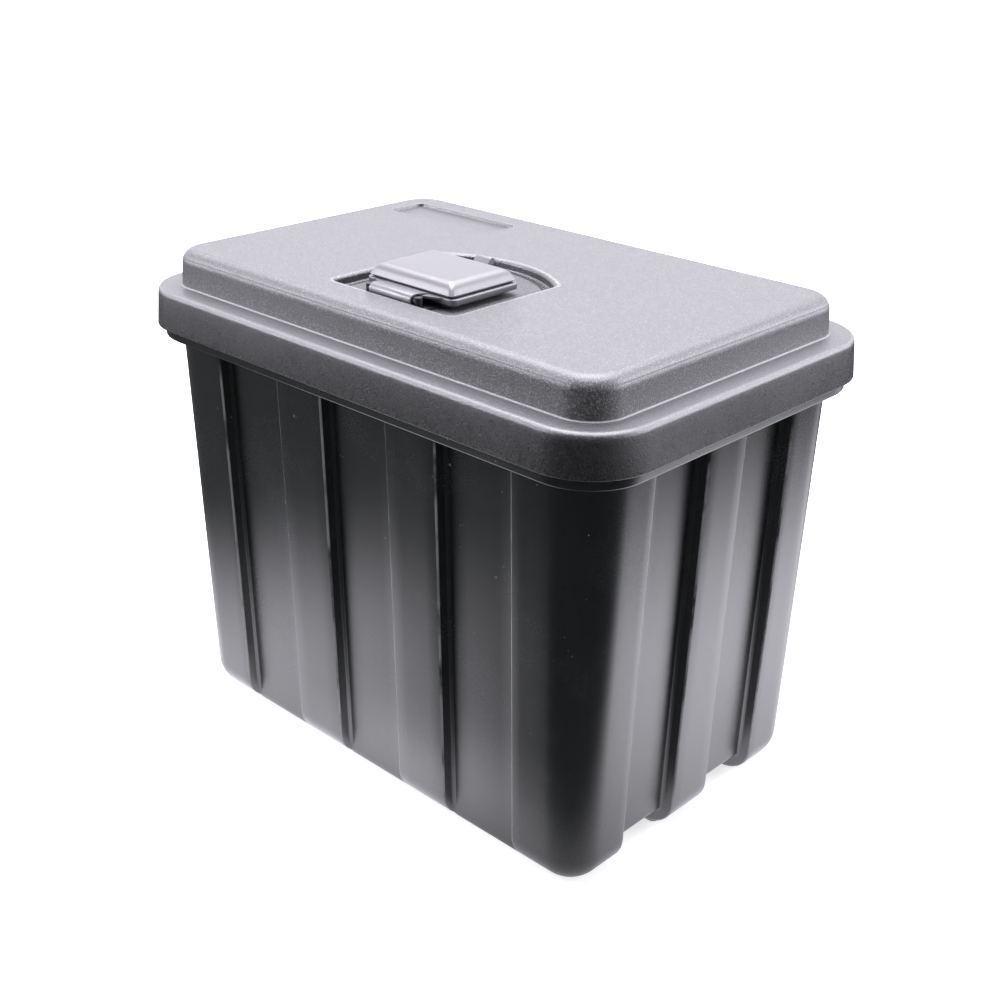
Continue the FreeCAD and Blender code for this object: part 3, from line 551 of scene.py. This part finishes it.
class Shell:
    """Points and faces of one piece, gathered from several patches."""

    def __init__(self):
        self.points = np.zeros((0, 3))
        self.faces = []

    def patch(self, points, faces):
        """Adds points and the faces that index them."""
        start = len(self.points)
        self.points = np.concatenate([self.points, points])
        self.faces += [[index + start for index in face] for face in faces]

    def loft(self, loops):
        """A skin over loops of equal count, each to the next."""
        self.patch(np.concatenate(loops), grid_faces(len(loops), len(loops[0])))

    def plate(self, outer, holes, z, up):
        """A flat face at height z inside one loop and outside others, facing up or down."""
        loops = [np.asarray(loop)[:, :2] for loop in [outer] + holes]
        flat = np.concatenate(loops)
        edges = []
        start = 0
        for loop in loops:
            edges += [(start + k, start + (k + 1) % len(loop)) for k in range(len(loop))]
            start += len(loop)
        kind = 2 if holes else 1
        order, _, triangles, _, _, _ = delaunay_2d_cdt([Vector(point) for point in flat], edges, [],
                                                       kind, 1e-6)
        order = np.array(order)
        triangles = np.array([face[:3] for face in triangles])
        middle = order[triangles].mean(axis=1)
        inside = winding(middle, loops[0])
        for hole in loops[1:]:
            inside &= ~winding(middle, hole)
        triangles = triangles[inside]
        corner = order[triangles]
        span, other = corner[:, 1] - corner[:, 0], corner[:, 2] - corner[:, 0]
        upward = span[:, 0] * other[:, 1] - span[:, 1] * other[:, 0] > 0
        triangles = np.where((upward == up)[:, None], triangles, triangles[:, ::-1])
        self.patch(np.column_stack([order, np.full(len(order), z)]), triangles.tolist())

    def block(self, outline, low, high, bevel):
        """A closed block on an outline function of an inset, with its top and bottom edges rounded."""
        side, rise = arc(bevel, -90.0, 0.0, 5)
        loops = loops_along(outline, zip(bevel - side, low + bevel + rise))
        loops += loops_along(outline, zip(bevel - side[::-1], high - bevel - rise[::-1]))
        self.loft(loops)
        self.plate(loops[0], [], low, False)
        self.plate(loops[-1], [], high, True)

    def turned_block(self, outline, low, high, bevel, order):
        """A block whose outline lies in another plane: order says which coordinate each axis takes."""
        part = Shell()
        part.block(outline, low, high, bevel)
        self.patch(part.points[:, order], part.faces)


def winding(points, loop):
    """Which points lie inside a loop: a line to the right crosses it an odd number of times."""
    following = np.roll(loop, -1, axis=0)
    x, y = points[:, 0:1], points[:, 1:2]
    crosses = (loop[:, 1] > y) != (following[:, 1] > y)
    height = np.where(following[:, 1] == loop[:, 1], 1.0, following[:, 1] - loop[:, 1])
    at = loop[:, 0] + (y - loop[:, 1]) / height * (following[:, 0] - loop[:, 0])
    return (np.sum(crosses & (x < at), axis=1) % 2) == 1


foot_inset = 17.0
foot_top = base_level + 1.0
foot_corner = 17.0
inner_foot_corner = 6.0
long_foot_depth = 34.0
short_foot_half = 20.0
base_half = lid_half - face_inset - face_lean
foot_end = base_half - foot_inset
foot_spans = []
for side_x in (-1, 1):
    for side_y in (-1, 1):
        foot_spans.append((side_x * 161.5, side_x * foot_end[0],
                           side_y * 84.0, side_y * foot_end[1], foot_corner))
        foot_spans.append((side_x * 35.5, side_x * 87.5,
                           side_y * (foot_end[1] - long_foot_depth), side_y * foot_end[1], inner_foot_corner))
    foot_spans.append((0.0, side_x * foot_end[0], -short_foot_half, short_foot_half, inner_foot_corner))
tub_shell = Shell()
tub_shell.patch(tub_points, tub_faces)
for x0, x1, y0, y1, corner in foot_spans:
    centre = ((x0 + x1) / 2, (y0 + y1) / 2)
    foot_outline = inset_rectangle(abs(x1 - x0) / 2, abs(y1 - y0) / 2, corner, centre)
    tub_shell.block(foot_outline, 0.0, foot_top, 0.7)

hinge_y = 176.0
hinge_z = 339.0
hinge_radius = 6.5
hinge_pin_radius = 2.5
hinge_places = (-145.0, 145.0)
ear_spans = ((-24.5, -15.5), (15.5, 24.5))
ear_top = 344.5


def ear_outline(inset):
    """An ear's side view as (y, z): a neck from the lip that runs into the round eye."""
    start = math.degrees(math.asin((lip_low - hinge_z + inset) / (hinge_radius - inset)))
    end = math.degrees(math.asin((ear_top - hinge_z - inset) / (hinge_radius - inset)))
    side, rise = arc(hinge_radius - inset, -180.0 - start, 180.0 - end, 26)
    root = lid_half[1] - lip_inset - lip_wall / 2
    eye = np.column_stack([hinge_y + side, hinge_z + rise])
    return np.concatenate([[(root, ear_top - inset), (root, lip_low + inset)], eye])


def bored_block(shell, outline, bore, low, high, bevel):
    """A block across X with rounded side edges and a round bore on the hinge's axis."""
    side, rise = arc(bevel, -90.0, 0.0, 4)
    heights = np.concatenate([low + bevel + rise, (high - bevel - rise)[::-1]])
    insets = np.concatenate([bevel - side, (bevel - side)[::-1]])
    loops = loops_along(outline, zip(insets, heights))
    sweep = np.linspace(0.0, 2 * math.pi, 25)[:-1]
    hole = np.column_stack([hinge_y + bore * np.cos(sweep), hinge_z + bore * np.sin(sweep)])
    part = Shell()
    part.loft(loops)
    part.plate(loops[0], [hole], low, False)
    part.plate(loops[-1], [hole], high, True)
    part.loft([raised(hole, high), raised(hole, low)])
    shell.patch(part.points[:, [2, 0, 1]], part.faces)


for place in hinge_places:
    for near, far in ear_spans:
        bored_block(tub_shell, ear_outline, hinge_pin_radius, place + near, place + far, 0.8)

boss_height = 333.5
boss_half_height = 21.0
boss_half_width = 19.0
boss_front = -136.0
boss_back = -131.5
boss_outline = inset_rectangle(boss_half_height, boss_half_width, 4.0, (boss_height, 0.0))
tub_shell.turned_block(boss_outline, boss_front, boss_back, 0.8, [1, 2, 0])
tub = mesh_object("tub", tub_shell.points, tub_shell.faces, tub_plastic, "tub")
# The bands' convex edges carry pale patches: partly wear, partly a painted highlight on those edges.
edge_wear_and_highlight = np.zeros(len(tub_shell.points))
fold_edge = (outer_ring.share > 0.0) & (outer_ring.share < 0.15)
edge_wear_and_highlight[:len(outer_rows) * tub_columns] = np.tile(fold_edge, len(outer_rows))
paint(tub, "edge_wear_and_highlight", edge_wear_and_highlight)
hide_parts("body_shell")


# The lid is the second moulding: a deep skirt, a brim, and a raised panel with a rounded edge. Its
# outside has a coarser grain than the tub. Ribs stiffen it inside, and two lugs carry the pins.
skirt_low = 346.5
brim_top = 378.0
panel_top = 407.0
lid_wall = 3.5
seal_rails = ((17.8, 16.0), (11.0, 9.2))
brim_round = 4.5
skirt_corner = 52.0
skirt_draft = 2.7
panel_inset = 22.0
panel_draft = 1.7
crown_radius = 11.0
panel_under = panel_top - lid_wall
pocket_depth = 6.2
pocket_floor = panel_top - pocket_depth
pocket_half = 64.0
pocket_front = -108.5
pocket_corner = 7.0
pocket_bow = 23.0
gutter_depth = 1.2
label_centre = (-141.0, 95.0)
label_half = (59.0, 18.5)
label_corner = 5.0
label_depth = 3.0
latch_y = -55.5


def pocket_outline(margin):
    """The latch pocket's outline with its bowed back edge, moved outwards by margin."""
    half = pocket_half + margin
    front = pocket_front - margin
    shoulder = margin
    bow = 2 * math.atan(pocket_bow / half)
    corner = pocket_corner + margin
    setback = corner / math.tan((math.pi / 2 + bow) / 2)
    radius = (half / math.cos(bow) - setback - 0.5) / math.tan(bow)
    corners = [(-half, front, corner), (half, front, corner), (half, shoulder, corner),
               (0.0, shoulder + half * math.tan(bow), radius), (-half, shoulder, corner)]
    return rounded_outline(corners, 18)


def label_outline(margin):
    """The bare recess near the panel's back left corner, moved outwards by margin."""
    return rounded_outline(rectangle(label_half[0] + margin, label_half[1] + margin,
                                     label_corner + margin, label_centre))


def lid_path():
    """The lid's section from its inside to the top, as (inset from the skirt, height) pairs."""
    slope = skirt_draft / (brim_top - skirt_low)
    brim_under = brim_top - lid_wall
    inside = [(35.0, panel_under), (31.0, panel_under - 0.9), (28.2, panel_under - 4.0),
              (27.3, panel_under - 9.0), (25.9, brim_under + 2.0), (25.0, brim_under + 0.5),
              (23.5, brim_under)]
    for near, far in seal_rails:
        inside += [(near + 0.4, brim_under), (near, brim_under - 0.6), (near - 0.1, brim_under - 3.8),
                   (near - 0.4, brim_under - 4.0), (far + 0.4, brim_under - 4.0),
                   (far + 0.1, brim_under - 3.8), (far, brim_under - 0.6), (far - 0.4, brim_under)]
    inside += [(7.5, brim_under), (6.4, brim_under - 0.6), (6.0, brim_under - 2.0), (3.6, skirt_low + 1.2)]
    side, rise = arc(0.9, 180.0, 360.0, 7)
    lower = list(zip(1.85 - side * 1.95, skirt_low + 0.9 + rise))
    side, rise = arc(brim_round, 5.0, 90.0, 8)
    edge = list(zip(slope * 27.0 + brim_round - side, brim_top - brim_round + rise))
    side, rise = arc(1.5, -90.0, -3.0, 6)
    foot = list(zip(panel_inset - 1.5 + side, brim_top + 1.5 + rise))
    side, rise = arc(crown_radius, 3.0, 90.0, 12)
    crown = list(zip(panel_inset + panel_draft - 0.6 + crown_radius - side, panel_top - crown_radius + rise))
    return inside + lower + edge + [(12.0, brim_top)] + foot + crown


def plain_side(half_run, count):
    """A side's columns with no channels."""
    return np.linspace(-half_run, half_run, count), np.zeros(count)


lid_core = lid_half - skirt_corner
lid_ring = Ring(lid_core, plain_side(lid_core[0], 18), plain_side(lid_core[1], 12), (160.0, 80.0))
lid_rows = [lid_ring.row(lid_core, skirt_corner - inset, z) for inset, z in lid_path()]
lid_shell = Shell()
lid_shell.loft(lid_rows)

rim_side, rim_rise = arc(2.6, 90.0, 4.0, 8)
foot_side, foot_rise = arc(1.6, 180.0, 268.0, 6)
gutter = pocket_floor - gutter_depth
pocket_path = [(4.0, panel_top)]
pocket_path += zip(2.6 - rim_side, panel_top - 2.6 + rim_rise)
pocket_path += zip(-1.6 - foot_side, gutter + 1.6 + foot_rise)
pocket_path += [(-5.2, gutter), (-5.8, gutter + 0.3), (-6.0, pocket_floor - 0.3), (-6.6, pocket_floor)]
pocket_loops = loops_along(pocket_outline, pocket_path)
edge_side, edge_rise = arc(0.7, 90.0, 4.0, 4)
label_floor = panel_top - label_depth
label_path = list(zip(0.7 - edge_side, panel_top - 0.7 + edge_rise))
label_path += [(-0.6, label_floor + 0.6), (-1.1, label_floor)]
label_loops = loops_along(label_outline, label_path)
lid_shell.plate(lid_rows[-1], [pocket_loops[0], label_loops[0]], panel_top, True)
hollow_start = len(lid_shell.points)
lid_shell.loft(pocket_loops)
label_start = len(lid_shell.points)
lid_shell.loft(label_loops)
label_end = len(lid_shell.points) - len(label_loops[-1])
lid_shell.plate(label_loops[-1], [], label_floor, True)

barrel_radius = 16.0
sweep = np.linspace(0.0, 2 * math.pi, 49)[:-1]
barrel_hole = np.column_stack([barrel_radius * np.cos(sweep), latch_y + barrel_radius * np.sin(sweep)])
pan_under = pocket_floor - lid_wall
lid_shell.plate(pocket_loops[-1], [barrel_hole], pocket_floor, True)
lid_shell.loft([raised(barrel_hole, pocket_floor), raised(barrel_hole, pan_under)])
pan_loops = loops_along(pocket_outline, [(lid_wall - 0.5, pan_under), (lid_wall, pan_under + 0.6),
                                         (lid_wall, panel_under)])
backing_low = panel_under - label_depth
backing_loops = loops_along(label_outline, [(lid_wall - 0.4, backing_low), (lid_wall, backing_low + 0.5),
                                            (lid_wall, panel_under)])
lid_shell.plate(pan_loops[0], [barrel_hole], pan_under, False)
lid_shell.loft(pan_loops)
lid_shell.plate(backing_loops[0], [], backing_low, False)
lid_shell.loft(backing_loops)
lid_shell.plate(lid_rows[0], [pan_loops[-1], backing_loops[-1]], panel_under, False)

rib_low = panel_under - 6.0
rib_high = panel_under + 0.3
rib_half = 1.25
cross_ribs = (-100.0, 100.0, -165.0, 165.0)
long_rib_y = 45.0
panel_room = lid_half - 28.0


def add_rib(half_x, half_y, centre):
    """A rib under the panel, with barely rounded corners."""
    lid_shell.block(lambda inset: rounded_outline(rectangle(half_x - inset, half_y - inset, 0.5, centre), 3),
                    rib_low, rib_high, 0.3)


for x in cross_ribs:
    add_rib(rib_half, panel_room[1], (x, 0.0))
add_rib(panel_room[0], rib_half, (0.0, long_rib_y))
lug_half = 15.0
lug_top = 372.0
lug_root = 350.0


def lug_outline(inset):
    """A lid lug's side view as (y, z): a foot on the skirt's back that runs down to the round eye."""
    side, rise = arc(hinge_radius - inset, -180.0, 0.0, 22)
    root = lid_half[1] - lid_wall
    eye = np.column_stack([hinge_y + side, hinge_z + rise])
    return np.concatenate([[(root, lug_top - inset), (root, lug_root + inset)], eye])


for place in hinge_places:
    bored_block(lid_shell, lug_outline, hinge_pin_radius + 0.05, place - lug_half, place + lug_half, 0.8)

lid_colour = (0.009, 0.009, 0.010, 1.0)
lid_plastic = plastic("grained_black_plastic", lid_colour, 0.42, 0.00036, 950.0, index=2.0)
height = lid_plastic.add("ShaderNodeSeparateXYZ", {"Vector": lid_plastic.place()}, output="Z")


def level_band(low, high, soft):
    """1 between two heights of the lid and 0 beyond them, in millimetres, with soft ends."""
    return (lid_plastic.step(height, (low - soft) / 1000, low / 1000)
            - lid_plastic.step(height, high / 1000, (high + soft) / 1000))


# Painted light on the lid: pale glints in the grain, strongest on the brim and panel, and a lighter tone on
# that top part.
upper = lid_plastic.step(height, 0.370, 0.379)
hollow = lid_plastic.painted("hollow")
painted_glints = lid_plastic.step(lid_plastic.grain, 0.50, 0.64) * (0.05 + upper * 0.34)
# Painted highlights: a line along the brim's rounded edge and one along the panel's foot.
painted_edge_highlights = (level_band(skirt_low + 30.2, brim_top - 0.6, 0.5) * 0.24
          + level_band(brim_top + 0.3, brim_top + 0.9, 0.3) * 0.5)
pocket_level = level_band(pocket_floor - 0.05, pocket_floor + 0.4, 0.1)
# The painted light above is mostly held back from the walls of the pocket and label, a painted shade in those
# recesses.
painted_top_light = (painted_glints + painted_edge_highlights + upper * 0.06) * (1.0 - hollow * 0.92)
# Painted highlight along the top edges of the pocket and label, and round the pocket's floor.
pocket_rim_highlight = (level_band(panel_top - 0.08, panel_top + 0.1, 0.03)
       + level_band(pocket_floor - 0.5, pocket_floor - 0.05, 0.04)) * hollow
drive(lid_plastic,
      Base_Color=lid_plastic.blend(lid_plastic.pale + painted_top_light + pocket_rim_highlight * 0.5, lid_colour,
                                   (0.34, 0.335, 0.35, 1.0)),
      Roughness=(lid_plastic.gloss + (lid_plastic.grain - 0.5) * 0.4 + pocket_level * 0.35 - hollow * 0.14
                 - (1.0 - upper) * 0.12))
lid = mesh_object("lid", lid_shell.points, lid_shell.faces, lid_plastic, "lid")
# The walls of the pocket and label are marked for their painted shade and the painted rim highlight.
in_hollow = np.zeros(len(lid_shell.points))
in_hollow[hollow_start:label_start] = 1.0
in_hollow[label_start:label_end] = 0.8
paint(lid, "hollow", in_hollow)
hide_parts("lid_shell")


# The dust cover is a soft moulded cap: a flange with a down-turned lip, a bead, and a dome with a
# wide round and crisp corners. Its flared front edge is rolled round the hinge bar, and a small tab
# at the back lifts it.
flange_low = 408.7
cover_wall = 1.8
flange_half = np.array([46.5, 35.0])
dome_half = flange_half - np.array([4.0, 2.5])
dome_lean = 0.60
dome_round = 10.5
dome_corner = 3.0
cover_top = 421.7
cover_shift = 1.0
bar_y = -103.9
bar_z = 408.1
cover_ring = Ring(np.array([36.0, 26.0]), plain_side(36.0, 16), plain_side(26.0, 12), (0.0, 0.0))


def cover_row(half, radius, z):
    """One rounded rectangle of the cover, round the latch's axis."""
    row = cover_ring.row(np.asarray(half) - radius, radius, z, least=0.3)
    return row + np.array([cover_shift, latch_y, 0.0])


def dome_top(share, inset=0.0):
    """The dome's crown as a row: ever smaller rectangles, which swell a little towards the middle."""
    half = dome_edge(inset)
    corner = dome_corner * (1 - share) + 0.3
    swell = 0.4 * math.sin(math.pi / 2 * share)
    return cover_row(half * (1 - share) + 0.5 * share, corner, cover_top - 0.5 - inset + swell)


def dome_edge(inset):
    """Half the size of the crown where the round at its edge ends."""
    lean = dome_lean * (cover_top - 0.5 - dome_round - flange_top)
    return dome_half - inset - lean - dome_round * 0.86


def dome_side(inset, lower):
    """Rows of the dome's side, from its foot to the crown: a leaning wall and a wide round."""
    radius = dome_round - inset
    upper = cover_top - 0.5 - inset
    turn = math.degrees(math.atan(dome_lean))
    side, rise = arc(radius, turn, 90.0, 10)
    start = upper - radius + rise[0]
    rows = []
    for z in np.linspace(lower, start, 4)[:-1]:
        rows.append(cover_row(dome_edge(inset) + side[0] + dome_lean * (start - z), dome_corner, z))
    rows += [cover_row(dome_edge(inset) + run, dome_corner, upper - radius + lift)
             for run, lift in zip(side, rise)]
    return rows


flange_top = flange_low + cover_wall
bead_side, bead_rise = arc(1.5, -80.0, 150.0, 8)
edge_side, edge_rise = arc(0.9, 0.0, 90.0, 5)
lip_thickness = 1.6
cover_lip_low = 405.6
lip_side, lip_rise = arc(0.9, 180.0, 360.0, 7)
cover_shell = Shell()
crown_rows = [dome_top(share) for share in (0.0, 0.25, 0.5, 0.75, 1.0)]
inner_rows = [dome_top(share, cover_wall) for share in (1.0, 0.75, 0.5, 0.25, 0.0)]
inner_rows += dome_side(cover_wall, flange_low)[::-1]
flange_rows = [cover_row(flange_half - lip_thickness, 4.0, flange_low)]
lip_middle = flange_half - lip_thickness / 2
flange_rows += [cover_row(lip_middle + side * lip_thickness / 1.8, 4.6, cover_lip_low + 0.9 + rise)
                for side, rise in zip(lip_side, lip_rise)]
flange_rows += [cover_row(flange_half - 0.9 + side, 5.0, flange_low + 0.9 + rise)
                for side, rise in zip(edge_side, edge_rise)]
flange_rows += [cover_row(dome_half + 1.6, 4.5, flange_top - 0.1)]
flange_rows += [cover_row(dome_half - 0.5 + side, 4.0, flange_top + 1.5 + rise)
                for side, rise in zip(bead_side, bead_rise)]
cover_rows = inner_rows + flange_rows + dome_side(0.0, flange_top + 2.2) + crown_rows
cover_shell.loft(cover_rows)
last = len(cover_shell.points) - len(cover_ring.share)
cover_shell.faces.append(list(range(len(cover_ring.share)))[::-1])
cover_shell.faces.append(list(range(last, len(cover_shell.points))))


def roll_outline(inset):
    """The rolled edge's side view as (y, z): a strip that curls down round the bar and back."""
    outer = 5.0 - inset
    inner = 5.0 - cover_wall + inset
    side, rise = arc(outer, 90.0, 288.0, 24)
    back_side, back_rise = arc(inner, 286.0, 92.0, 24)
    strap_end = latch_y - flange_half[1] + 2.0
    curl = np.column_stack([bar_y + side, bar_z + rise])
    back = np.column_stack([bar_y + back_side, bar_z + back_rise])
    lower = [(bar_y + 2.6, bar_z + 3.3 + inset), (strap_end, flange_low + inset)]
    upper = [(strap_end, flange_top - inset), (bar_y + 3.5, bar_z + 4.9 - inset)]
    return np.concatenate([curl, back, lower, upper])


roll_half = 22.2
flare_left = -41.0
flare_right = 43.0


def flare_outline(inset):
    """The flange from above where it narrows towards the roll."""
    back = latch_y - flange_half[1] + 3.0
    front = bar_y + 6.0
    return rounded_outline([(flare_left + inset, back, 1.0), (-roll_half + inset, front, 3.0),
                            (roll_half - inset, front, 3.0), (flare_right - inset, back, 1.0)])


def tab_outline(inset):
    """The pull tab's side view as (y, z): a strip that climbs from the flange to a small curl."""
    start = latch_y + flange_half[1] - 3.0
    end = latch_y + flange_half[1] + 8.0
    side, rise = arc(2.8 - inset, 150.0, -130.0, 16)
    tip = np.column_stack([end + side, flange_low + 9.2 + rise])
    return np.concatenate([tip, [(start, flange_low + inset), (start, flange_top + 0.6 - inset)]])[::-1]


tab_left = -4.0
tab_right = 11.5
cover_shell.turned_block(roll_outline, -roll_half, roll_half, 0.5, [2, 0, 1])
cover_shell.block(flare_outline, flange_low, flange_top, 0.5)
cover_shell.turned_block(tab_outline, tab_left, tab_right, 0.4, [2, 0, 1])
cover_rubber = plastic("cover_rubber", (0.085, 0.082, 0.090, 1.0), 0.38, 0.00010, 1500.0, index=2.1)
cover = mesh_object("dust_cover_skin", cover_shell.points, cover_shell.faces, cover_rubber, "cover")
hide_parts("dust_cover")


# The keeper, its screws, the hinge pins and the latch's cam, washers and nut are zinc-plated steel:
# dull silver with a fine brushed grain and darker clouds where the plating has gone matt.
def metal(name, colour, roughness, scratch_depth, scratch_scale):
    """Plain metal with fine scratches along one axis, clouds in its gloss and a little grime."""
    finish = material(name, Metallic=1.0)
    scratches = finish.noise(scratch_scale, 3.0, finish.stretched((1.0, 0.06, 1.0)))
    clouds = finish.noise(120.0, 4.0)
    grime = finish.step(clouds, 0.52, 0.72)
    drive(finish,
          Base_Color=finish.blend(grime * 0.35, colour, (0.12, 0.11, 0.10, 1.0)),
          Roughness=roughness + (clouds - 0.5) * 0.25 + grime * 0.12,
          Normal=finish.bump(scratches, scratch_depth))
    return finish


def dress(finish, *names):
    """Gives CAD nodes a finish."""
    for name in names:
        for slot in nodes[name].material_slots:
            slot.material = finish.block


zinc = metal("zinc_plated_steel", (0.62, 0.63, 0.66, 1.0), 0.36, 0.00002, 2500.0)
dress(zinc, "keeper", "keeper_screws", "hinge_pin_left", "hinge_pin_right", "hinge_pin_caps", "latch_cam",
      "stop_washer", "spring_washer", "cam_nut")


# The spindle is plain turned steel, darker and oilier than the plated parts. The bar that the dust
# cover turns on is bent from blued steel, nearly black.
bare_steel = metal("bare_steel", (0.42, 0.41, 0.40, 1.0), 0.30, 0.00002, 3500.0)
dress(bare_steel, "spindle")
blued_steel = metal("blued_steel", (0.055, 0.055, 0.06, 1.0), 0.42, 0.00002, 3500.0)
dress(blued_steel, "cover_hinge_bar")


# The lock's key plug is chromed, with fine turning marks on its face. Its tail is a clip of bare
# brass, dull and a little grimy.
chrome = metal("plug_chrome", (0.80, 0.81, 0.83, 1.0), 0.14, 0.00001, 4000.0)
dress(chrome, "lock_plug")
brass = metal("tail_brass", (0.72, 0.52, 0.24, 1.0), 0.30, 0.00002, 3000.0)
dress(brass, "plug_tail")


# The latch housing, its nut and the turn handle are glass-filled nylon: black, duller than the box,
# with a sandy grain.
nylon = plastic("lock_nylon", (0.014, 0.014, 0.015, 1.0), 0.50, 0.00025, 2200.0)
dress(nylon, "lock_housing", "housing_nut", "turn_handle")


# The lid's seal, the housing's gasket and the spindle's O-ring are soft black rubber, matt, with a
# bloom of pale dust.
def rubber(name):
    """Matt black rubber with a fine pitted skin and dusty clouds."""
    finish = material(name)
    pits = finish.noise(1800.0, 2.0)
    bloom = finish.noise(60.0, 4.0)
    drive(finish,
          Base_Color=finish.blend(finish.step(bloom, 0.45, 0.8) * 0.3, (0.015, 0.015, 0.016, 1.0),
                                  (0.12, 0.12, 0.12, 1.0)),
          Roughness=0.72 + (bloom - 0.5) * 0.2,
          Normal=finish.bump(pits, 0.0001))
    return finish


soft_rubber = rubber("soft_rubber")
dress(soft_rubber, "lid_seal", "housing_gasket", "spindle_seal")
